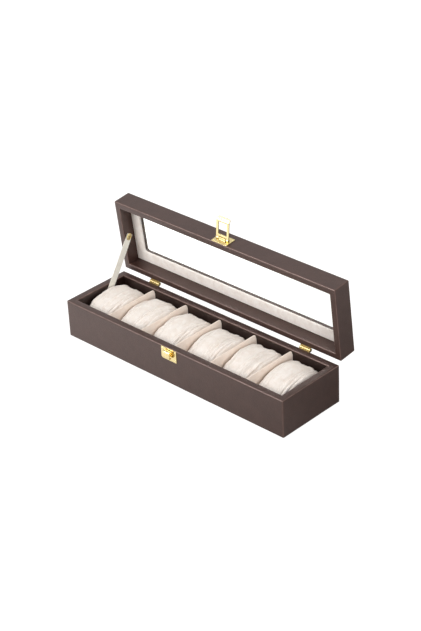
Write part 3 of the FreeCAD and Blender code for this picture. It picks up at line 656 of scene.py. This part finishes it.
def bake(piece):
    """Keeps the mesh that a piece's modifiers give, and removes them."""
    graph = bpy.context.evaluated_depsgraph_get()
    made = bpy.data.meshes.new_from_object(piece.evaluated_get(graph))
    piece.modifiers.clear()
    made.name = piece.name
    piece.data = made


def read_points(mesh):
    """Places of a mesh's points as one array, in metres."""
    flat = np.empty(3 * len(mesh.vertices), np.float32)
    mesh.vertices.foreach_get("co", flat)
    return flat.reshape(-1, 3).astype(float)


def stuff(pieces, pressure, most):
    """Swells closed skins as stuffed fabric: cloth a little larger than its form, with pressure inside and without
    weight, run for 20 frames. Each point then keeps its move, cut to the most, in millimetres."""
    scene = bpy.context.scene
    for piece in pieces:
        cloth = piece.modifiers.new("cloth", "CLOTH")
        cloth.settings.quality = 5
        cloth.settings.shrink_min = -0.035
        cloth.settings.use_pressure = True
        cloth.settings.uniform_pressure_force = pressure
        cloth.settings.effector_weights.gravity = 0
        cloth.point_cache.frame_start, cloth.point_cache.frame_end = 1, 20
    for number in range(1, 21):
        scene.frame_set(number)
    graph = bpy.context.evaluated_depsgraph_get()
    for piece in pieces:
        start = read_points(piece.data)
        move = read_points(piece.evaluated_get(graph).data) - start
        length = np.linalg.norm(move, axis=1, keepdims=True)
        start += move * np.minimum(1, most * MM / np.maximum(length, 1e-9))
        piece.modifiers.clear()
        piece.data.vertices.foreach_set("co", start.ravel().astype(np.float32))
        piece.data.update()
    scene.frame_set(1)


def crease(piece, number):
    """Seam and folds: every point goes in along its normal by bells across lines near the ends. Each line starts
    near the back corner and fans out from the end, by a power of the turn from back to front over the crown."""
    low, high = (np.array(corner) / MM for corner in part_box("cushion_%d" % number))
    half_x, centre_x = (high[0] - low[0]) / 2, (low[0] + high[0]) / 2
    mesh = piece.data
    points = read_points(mesh) / MM
    normals = np.empty(3 * len(mesh.vertices), np.float32)
    mesh.vertex_normals.foreach_get("vector", normals)
    level = turned(points, 0, ROLL_CENTRE_Z, ROLL_LEAN)
    turn = np.arctan2((level[:, 2] - ROLL_CENTRE_Z) / ROLL_HALF_Z, level[:, 1] / ROLL_HALF_Y) / np.pi
    upper = np.clip(1 + 4 * turn, 0, 1) * (turn > -0.25) + (turn < -0.75) * np.clip(-4 * turn - 3, 0, 1)
    front = np.clip(np.where(turn < -0.5, 1, turn), 0, 1)
    rng = np.random.default_rng(70 + number)
    inward = np.zeros(len(points))
    for side, folds in ((1, 4), (-1, 2)):
        from_end = half_x - side * (points[:, 0] - centre_x)
        inside = np.clip(from_end / 2, 0, 1)
        seam = 5.0 + 0.5 * np.sin(2 * np.pi * turn + rng.uniform(0, 6))
        inward += inside * (1.0 * hump(from_end - seam, 0.8) - 0.35 * hump(from_end - seam - 1.9, 1.1))
        first = 7.5
        for fold in range(folds):
            start, spread = first + rng.uniform(-0.4, 0.6), rng.uniform(1.0, 3.0) + 2.6 * fold
            depth, width = rng.uniform(0.75, 1.4), rng.uniform(0.9, 1.5)
            line = start + spread * front ** 1.4 + 0.5 * np.sin(5 * front + rng.uniform(0, 6))
            fade = np.clip((front - rng.uniform(-0.2, 0.25)) * 6, 0, 1) * np.clip((rng.uniform(0.75, 1.2) - front) * 6, 0, 1)
            inward += upper * fade * depth * (hump(from_end - line, width)
                                              - 0.7 * hump(from_end - line - 1.7 * width, 1.2 * width))
            first += rng.uniform(1.2, 2.2)
    inward += 0.06 * ripple(points, 3.2, 200 + number)
    points -= normals.reshape(-1, 3) * inward[:, None]
    points[:, 0] = np.clip(points[:, 0], centre_x - half_x, centre_x + half_x)
    points[:, 1] = np.clip(points[:, 1], low[1], high[1])
    points[:, 2] = np.clip(points[:, 2], ROLL_BOTTOM, high[2] + 0.8)
    mesh.vertices.foreach_set("co", (points * MM).ravel().astype(np.float32))
    mesh.update()


def cushions():
    """The six stuffed rolls: plain form, even mesh, cloth, subdivision, and then the seams and folds."""
    pieces = [roll_form(number, 1.0) for number in range(1, PLACES + 1)]
    for piece in pieces:
        even = piece.modifiers.new("even", "REMESH")
        even.mode, even.voxel_size = "VOXEL", 3.0 * MM
        bake(piece)
    stuff(pieces, 30.0, 1.6)
    for number, piece in enumerate(pieces, 1):
        soften = piece.modifiers.new("soften", "SMOOTH")
        soften.factor, soften.iterations = 0.5, 2
        finer = piece.modifiers.new("finer", "SUBSURF")
        finer.levels = finer.render_levels = 2
        bake(piece)
        crease(piece, number)
        piece.data.shade_smooth()
        piece.data.materials.clear()
        dress(piece, CUSHION_SUEDE, "cushion_%d" % number, ["cushion_%d" % number])


cushions()


# ---------------------------------------------------------------- ribbon stay
def ribbon():
    """Taut tape between the two screws: a flat section with round selvedges, carried from below the base's screw
    to past the lid's, bowed out a little in the middle and pinched a little under the screws."""
    foot = np.array([-153.5, 10.8, 33.0])
    head = opened(np.array([-154.7, 3.4, 52.9]))
    run = head - foot
    span = np.linalg.norm(run[1:])
    along = np.array([0, run[1], run[2]]) / span
    across = np.array([0, -along[2], along[1]])
    distance = np.linspace(-4, span + 4, 90)
    share = np.clip(distance / span, 0, 1)
    section = outline([(-4.7, -0.2), (4.7, -0.2), (4.7, 0.2), (-4.7, 0.2)], [0.18] * 4, step=0.5, arc=4)
    wide, thick = section.T
    pinch = 1 - 0.06 * hump(distance, 5) - 0.06 * hump(distance - span, 5)
    centre = np.stack([foot[0] + run[0] * share, foot[1] + along[1] * distance, foot[2] + along[2] * distance], -1)
    grid = centre[:, None] + across * (wide[None] * pinch[:, None])[..., None]
    grid[..., 0] += thick[None] + 0.25 * (np.sin(np.pi * share) ** 2)[:, None]
    uv = np.stack(np.broadcast_arrays(distance[:, None], wide[None]), -1)
    piece = skin("stay_tape", grid, wrap_columns=True, poles=True, smooth_angle=50, uv=uv)
    dress(piece, TAPE, replaces=["stay_ribbon"])
    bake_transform(piece)
    return piece


ribbon()

# ---------------------------------------------------------------- latch
def catch():
    """Catch plate with its lower left corner cut and a slot over the hook, and the hook: a strip that comes out
    over the slot, turns down, and turns back in to a short open lip."""
    outer = framed(-11.25, 11.25, 31.2, 45.7, (0.5, 0.5, 0.5, 1.6), cut=(3,))
    slot = framed(-5.0, 5.0, 44.0, 44.7, (0.15,) * 4)
    plate = skin("plate", windowed(outer, slot, PLATE_FACE, PLATE_FACE + 0.8, 0.22), wrap_rows=True,
                 wrap_columns=True)
    out, top, low, bend = -49.85, 43.55, 35.65, 1.55
    path = np.vstack([
        np.linspace((PLATE_FACE + 0.5, top), (out + bend, top), 5)[:-1],
        arc_path(out + bend, top - bend, bend, 90, 180, 8),
        np.linspace((out, top - bend), (out, low + bend), 6)[1:-1],
        arc_path(out + bend, low + bend, bend, 180, 270, 8),
        np.linspace((out + bend, low), (-47.2, low), 4)[1:]])
    hook = skin("hook", rolled_strip(path, -5.0, 5.0, 0.9, 0.2), wrap_columns=True, poles=True)
    dress(joined("catch_hook", [plate, hook]), BRASS, "base", ["catch_plate"])


def latch():
    """Latch plate with its rolled knuckle: a strip that leaves the plate and goes round the loop's bar."""
    plate = skin("latch_stamped_plate", stamped(framed(-11.25, 11.25, 46.7, 61.2, (0.5,) * 4), PLATE_FACE,
                                                PLATE_FACE + 0.8, 0.22), wrap_columns=True, poles=True)
    path = np.vstack([
        np.array([(PLATE_FACE + 0.35, PIVOT_Z - 3.0), (PLATE_FACE + 0.1, PIVOT_Z - 2.2),
                  (PLATE_FACE - 0.35, PIVOT_Z - 1.6)]),
        arc_path(PIVOT_Y, PIVOT_Z, 1.34, -65, -360, 26)])
    knuckle = skin("latch_rolled_knuckle", rolled_strip(path, -5.0, 5.0, 0.76, 0.18), wrap_columns=True,
                   poles=True)
    # The knuckle takes the darker brass as painted shade
    for piece, brass in ((plate, BRASS), (knuckle, SHADED_BRASS)):
        place(piece, opened)
        dress(piece, brass, "lid", ["latch_plate"])


def place(piece, move):
    """Moves a piece's points by a function of millimetre points."""
    moved = move(read_points(piece.data) / MM) * MM
    piece.data.vertices.foreach_set("co", moved.ravel().astype(np.float32))
    piece.data.update()


def loop():
    """Loop: a windowed stamping whose lower part is bent forward as a finger lip, on a turned bar with an eye at
    each side. Below the bend every point is turned by the lip's angle about the bend line."""
    front, back = PIVOT_Y - 0.7, PIVOT_Y + 0.7
    low = PIVOT_Z - 20.4
    outer = framed(-9.2, 9.2, low - 5.0, PIVOT_Z - 2.05, (2.8, 0.5, 0.5, 2.8), run=10)
    inner = framed(-6.2, 6.2, PIVOT_Z - 18.8, PIVOT_Z - 4.2, (0.5,) * 4, run=10)
    grid = windowed(outer, inner, front, back, 0.3, across=10)
    below = np.clip((low + 0.5 - grid[..., 2]) / 1.0, 0, 1)[..., None]
    bent = turned(grid, back, low, 35.0)
    sheet = skin("sheet", grid + (bent - grid) * below, wrap_rows=True, wrap_columns=True)
    ears = [skin("ear", stamped(framed(side - 1.95, side + 1.95, PIVOT_Z - 3.0, PIVOT_Z, (0.2,) * 4, run=3),
                                front, back, 0.3), wrap_columns=True, poles=True) for side in (-7.25, 7.25)]
    half = [(5.3, 0.9), (5.3, 1.25), (5.37, 1.43), (5.55, 1.5), (8.95, 1.5), (9.13, 1.43), (9.2, 1.25), (9.2, 0)]
    bar = skin("bar", turned_part([(-x, r) for x, r in half[::-1]] + half, PIVOT_Y, PIVOT_Z), wrap_columns=True,
               poles=True)
    pieces = [sheet, *ears, bar]
    for piece in pieces:
        place(piece, lifted)
    dress(joined("latch_loop_bow", pieces), BRASS, "latch_loop", ["latch_loop"])


catch()
latch()
loop()


# ---------------------------------------------------------------- hinges and fasteners
def hinge(side_name, centre):
    """Butt hinge: two leaves with rolled knuckles in turn along the pin, three from the base and two from the lid,
    and the pin with domed ends."""
    half, pitch = 7.25, 14.5 / 5
    for name, first, up, move, body in (("base", 0, -1, None, "base"), ("lid", 1, 1, opened, "lid")):
        edge = HINGE_Z + 0.2 * up
        far = edge + 9.5 * up
        leaf = framed(centre - half, centre + half, min(edge, far), max(edge, far),
                      (1.0, 0.2, 0.2, 1.0) if up < 0 else (0.2, 1.0, 1.0, 0.2))
        pieces = [skin("leaf", stamped(leaf, HALF_DEPTH, HALF_DEPTH + 0.6, 0.18), wrap_columns=True, poles=True)]
        for index in range(first, 5, 2):
            left = centre - half + index * pitch + 0.075
            path = np.vstack([
                np.array([(45.3, -3.6), (45.32, -2.9), (45.6, -2.3), (46.2, -1.95), (47.0, -1.8)]) + [0, HINGE_Z],
                arc_path(HINGE_Y, HINGE_Z, 1.75, -90, 205, 26)])
            path[:, 1] = HINGE_Z - up * (path[:, 1] - HINGE_Z)
            pieces.append(skin("knuckle", rolled_strip(path, left, left + pitch - 0.15, 0.7, 0.16),
                               wrap_columns=True, poles=True))
        if move:
            for piece in pieces:
                place(piece, move)
        node = "%s_hinge_%s_leaf" % (side_name, name)
        # The hinge's leaves and knuckles take the darker brass as painted shade and dark reflection
        dress(joined("%s_hinge_%s_knuckles" % (side_name, name), pieces), SHADED_BRASS, body, [node])
    reach = half + 0.5
    ends = [(reach - 0.5, 0.9), (reach - 0.2, 0.82), (reach - 0.05, 0.55), (reach, 0)]
    pin = skin("%s_hinge_pin_turned" % side_name,
               turned_part([(centre - x, r) for x, r in ends[::-1]] + [(centre + x, r) for x, r in ends],
                           HINGE_Y, HINGE_Z), wrap_columns=True, poles=True)
    # The pin takes the darker brass as painted shade
    dress(pin, SHADED_BRASS, "base", ["%s_hinge_pin" % side_name])


def head(seat, outward, radius, dome, cross):
    """Fastener's head: a ball cap over its seat, less a cross recess with sloping sides whose half width is the
    cross and whose arms end at 0.62 of the radius, closed underneath."""
    ball = (radius ** 2 + dome ** 2) / (2 * dome)
    ring = np.concatenate([np.linspace(0, 1, 22), [1, 0]])[:, None] * radius
    angle = np.arange(48) / 48 * 2 * np.pi
    u, v = ring * np.cos(angle), ring * np.sin(angle)
    height = np.sqrt(ball ** 2 - ring ** 2) - (ball - dome) + 0 * u
    if cross:
        narrow, wide = np.minimum(abs(u), abs(v)), np.maximum(abs(u), abs(v))
        recess = np.clip((cross - narrow) / 0.12, 0, 1) * np.clip((0.62 * radius - wide) / 0.15, 0, 1)
        height -= 0.55 * dome * recess
    height[-2:] = 0.0
    outward = np.array(outward, float)
    first = np.cross(outward, [0, 0, 1.0]) if abs(outward[2]) < 0.9 else np.array([1.0, 0, 0])
    second = np.cross(outward, first)
    return np.array(seat) + u[..., None] * first + v[..., None] * second + height[..., None] * outward


def heads(name, node, body, seats, outward, radius, dome, cross=0.0, move=None):
    """All the heads of one node as one piece."""
    pieces = [skin("head", head(seat, outward, radius, dome, cross), wrap_columns=True, poles=True, smooth_angle=30)
              for seat in seats]
    if move:
        for piece in pieces:
            place(piece, move)
    dress(joined(name, pieces), BRASS, body, [node])


hinge("left", -113.5)
hinge("right", 113.5)
screws_x = [centre + step for centre in (-113.5, 113.5) for step in (-5.0, 5.0)]
heads("base_hinge_screw_heads", "base_hinge_screws", "base", [(x, 45.6, 41.25) for x in screws_x], (0, 1, 0),
      1.7, 0.5, 0.26)
heads("lid_hinge_screw_heads", "lid_hinge_screws", "lid", [(x, 45.6, 51.15) for x in screws_x], (0, 1, 0),
      1.7, 0.5, 0.26, opened)
heads("catch_nail_heads", "catch_plate_nails", "base",
      [(x, PLATE_FACE, z) for x in (-9.15, 9.15) for z in (33.3, 43.6)], (0, -1, 0), 0.9, 0.35)
heads("latch_nail_heads", "latch_plate_nails", "lid",
      [(x, PLATE_FACE, z) for x in (-9.15, 9.15) for z in (48.8, 59.1)], (0, -1, 0), 0.9, 0.35, move=opened)
heads("base_stay_screw_head", "base_stay_screw", "base", [(-153.2, 10.8, 33.0)], (1, 0, 0), 2.2, 0.8, 0.32)
heads("lid_stay_screw_head", "lid_stay_screw", "lid", [(-153.9, 3.4, 52.9)], (1, 0, 0), 2.2, 1.2, 0.32, opened)
cup = skin("lid_stay_washer_cup",
           turned_part([(-154.4 + rise, radius) for rise, radius in
                        ((0, 1.3), (0, 2.6), (0, 4.0), (0.06, 4.17), (0.16, 4.2), (0.27, 4.08), (0.38, 3.7),
                         (0.47, 3.1), (0.5, 2.6), (0.5, 1.3))], 3.4, 52.9, 48), wrap_rows=True, wrap_columns=True)
place(cup, opened)
dress(cup, BRASS, "lid", ["lid_stay_washer"])


# ---------------------------------------------------------------- finishes of the nodes that stay
finishes = {
    "base_front_panel": BOARD, "base_back_panel": BOARD, "base_left_panel": BOARD, "base_right_panel": BOARD,
    "base_floor_panel": BOARD, "lid_front_rail": BOARD, "lid_back_rail": BOARD, "lid_left_rail": BOARD,
    "lid_right_rail": BOARD, "lid_top_frame": BOARD, "base_bottom_felt": FELT, "base_floor_lining": CARD_SUEDE,
    "lid_glass": GLASS_PANE,
}
for name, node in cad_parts.items():
    for slot in node.material_slots:
        slot.material = finishes.get(name, BRASS)


# ---------------------------------------------------------------- floor, light and camera
def white_floor():
    """Seamless white studio floor. Rays from the camera and through glass see it brighter than it is lit, up to
    white, so only the soft shadow beside the box is left of it; shiny things see less of that."""
    made, tree = material("white_studio_sweep")
    ray = add(tree, "LightPath")
    seen = add(tree, "Math", links={0: ray.outputs["Is Camera Ray"], 1: ray.outputs["Is Transmission Ray"]},
               operation="MAXIMUM")
    # The floor's shine as metal and leather see it fades from the lamp's side, front left, to the back right, and
    # comes back past the box's right end, where a white reflector would stand
    place = add(tree, "TexCoord").outputs["Object"]
    slant = add(tree, "VectorMath", {1: (-1.92, -1.97, 0.0)}, {0: place}, operation="DOT_PRODUCT")
    slant = add(tree, "Math", {1: 0.5}, {0: slant.outputs["Value"]}, operation="ADD", use_clamp=True)
    reach = add(tree, "VectorMath", {1: (4.0, 0.0, 0.0)}, {0: place}, operation="DOT_PRODUCT")
    reach = add(tree, "Math", {1: -0.8}, {0: reach.outputs["Value"]}, operation="ADD", use_clamp=True)
    slant = add(tree, "Math", {1: 0.7}, {0: reach.outputs[0], 2: slant.outputs[0]}, operation="MULTIPLY_ADD")
    mirrored = add(tree, "Math", links={0: ray.outputs["Is Glossy Ray"], 1: slant.outputs[0]}, operation="MULTIPLY")
    lift = add(tree, "Math", {1: 0.88}, {0: seen.outputs[0], 2: mirrored.outputs[0]}, operation="MULTIPLY_ADD")
    lit = add(tree, "BsdfDiffuse", {"Color": linear("#A6A4A2")})
    glow = add(tree, "Emission", {"Color": linear("#FFFFFF")}, {"Strength": lift.outputs[0]})
    both = add(tree, "AddShader", links={0: lit.outputs[0], 1: glow.outputs[0]})
    add(tree, "OutputMaterial", links={"Surface": both.outputs[0]})
    side = np.linspace(-4000, 4000, 9)
    grid = np.stack(np.meshgrid(side, side) + [np.zeros((9, 9))], -1)
    floor = skin("studio_floor", grid)
    floor.data.materials.append(made)


def soft_box(name, place, aim, size, power, shine=True):
    """Square lamp at a place in metres, turned to its aim, and seen in shiny things unless told otherwise."""
    lamp = bpy.data.lights.new(name, "AREA")
    lamp.shape, lamp.size, lamp.energy = "SQUARE", size, power
    made = bpy.data.objects.new(name, lamp)
    made.visible_glossy = shine
    made.location = place
    made.rotation_mode = "QUATERNION"
    made.rotation_quaternion = (Vector(aim) - Vector(place)).to_track_quat("-Z", "Y")
    bpy.context.scene.collection.objects.link(made)


def white_world(level):
    """Even white room: white to the camera and through glass, a little less to shiny things, and the given level
    as light."""
    world = bpy.data.worlds.new("white_room")
    world.use_nodes = True
    tree = world.node_tree
    tree.nodes.clear()
    ray = add(tree, "LightPath")
    seen = add(tree, "Math", links={0: ray.outputs["Is Camera Ray"], 1: ray.outputs["Is Transmission Ray"]},
               operation="MAXIMUM")
    mirrored = add(tree, "Math", {1: 0.78}, {0: ray.outputs["Is Glossy Ray"]}, operation="MULTIPLY")
    seen = add(tree, "Math", links={0: seen.outputs[0], 1: mirrored.outputs[0]}, operation="MAXIMUM")
    strength = add(tree, "MapRange", {"To Min": level, "To Max": 1.0}, {"Value": seen.outputs[0]})
    back = add(tree, "Background", {"Color": linear("#FFFFFF")}, {"Strength": strength.outputs["Result"]})
    add(tree, "OutputWorld", links={"Surface": back.outputs[0]})
    bpy.context.scene.world = world


def dark_card():
    """Tall grey card at the right of the box, as a studio sets one: only shiny things see it, as their darker
    side."""
    made, tree = material("grey_studio_card")
    glow = add(tree, "Emission", {"Color": linear("#FFFFFF"), "Strength": 0.16})
    add(tree, "OutputMaterial", links={"Surface": glow.outputs[0]})
    side, up = np.meshgrid(np.linspace(-1100, 900, 5), np.linspace(5, 900, 5))
    card = skin("grey_card", np.stack([700 + 0 * side, side, up], -1))
    card.data.materials.append(made)
    for kind in ("camera", "diffuse", "transmission", "shadow"):
        setattr(card, "visible_" + kind, False)


def aim_camera():
    """The photograph's view, found from 21 corners of the box: azimuth from the front towards +X, elevation, a
    small roll, the point looked at, and a focal length of 1718.9 of the frame's 631 pixels of height."""
    azimuth, elevation, roll = (math.radians(a) for a in (44.93, 30.33, -2.87))
    back = Vector((math.sin(azimuth) * math.cos(elevation), -math.cos(azimuth) * math.cos(elevation),
                   math.sin(elevation)))
    right = Vector((0, 0, 1)).cross(back).normalized()
    up = back.cross(right)
    level_right, level_up = right, up
    right = level_right * math.cos(roll) + level_up * math.sin(roll)
    up = level_up * math.cos(roll) - level_right * math.sin(roll)
    camera = bpy.data.cameras.new("camera")
    camera.sensor_width = 36.0
    camera.lens = 36.0 * 1718.9 / 631
    camera.clip_start, camera.clip_end = 0.05, 50
    made = bpy.data.objects.new("camera", camera)
    turned = Matrix((right, up, back)).transposed().to_4x4()
    turned.translation = Vector((22.4, -1.7, 75.4)) * MM + back * 1840.9 * MM
    made.matrix_world = turned
    bpy.context.scene.collection.objects.link(made)
    bpy.context.scene.camera = made


white_floor()
white_world(0.26)
dark_card()
soft_box("key_front_left", (-0.8, -1.4, 1.0), (0, 0, 0.05), 0.8, 22)
soft_box("top_fill", (-0.1, -0.2, 1.5), (0, 0, 0.05), 1.0, 6.0)
soft_box("right_fill", (1.3, -0.5, 0.7), (0, 0, 0.05), 0.7, 10, shine=False)
aim_camera()
bpy.context.scene.view_settings.view_transform = "Standard"
